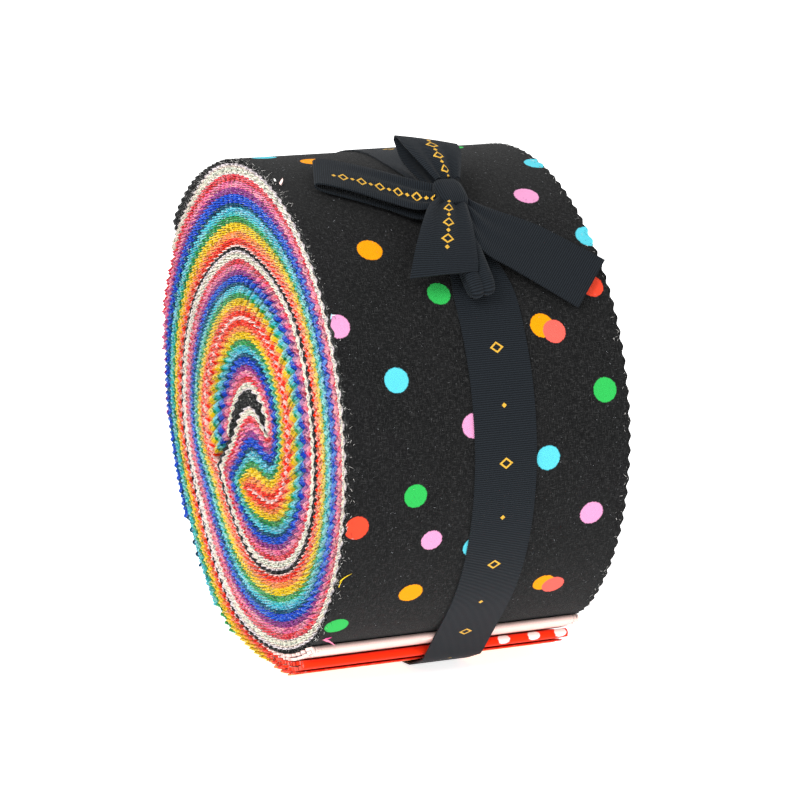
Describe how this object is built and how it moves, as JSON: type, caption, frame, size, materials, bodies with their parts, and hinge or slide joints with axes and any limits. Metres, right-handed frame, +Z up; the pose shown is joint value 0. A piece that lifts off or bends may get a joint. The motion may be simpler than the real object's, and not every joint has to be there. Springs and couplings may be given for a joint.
{
  "type": "jelly roll of fabric strips",
  "caption": "Round roll of folded, pinked cotton strips in a run of colours, wound edge on and tied with a ribbon in a bow.",
  "frame": {"origin": "middle of the bottom of the whole thing's box, on the small flat spot that the roll rests on", "axes": "+Y along the roll's axis, from the face with the open spiral to the back face; +X across the roll, towards the side with the bow; +Z up"},
  "size_m": [0.1242, 0.0636, 0.1178],
  "materials": {
    "cotton_strips": "matt quilting cotton, printed, in a run of colours",
    "cotton_black": "matt quilting cotton, black with scattered dots",
    "cotton_pale_pink": "matt quilting cotton, pale pink",
    "cotton_red": "matt quilting cotton, red with small white dots",
    "cotton_orange": "matt quilting cotton, orange",
    "ribbon": "ribbed ribbon, near black, with a fine gold print"
  },
  "bodies": {
    "root": {"roll": "cotton_strips", "end_black": "cotton_black", "end_pale_pink": "cotton_pale_pink", "end_red": "cotton_red", "end_orange": "cotton_orange", "ribbon_band": "ribbon", "ribbon_knot": "ribbon", "ribbon_loop_left": "ribbon", "ribbon_loop_upper": "ribbon", "ribbon_loop_lower": "ribbon", "ribbon_tail_down": "ribbon", "ribbon_tail_right": "ribbon"}
  },
  "joints": []
}
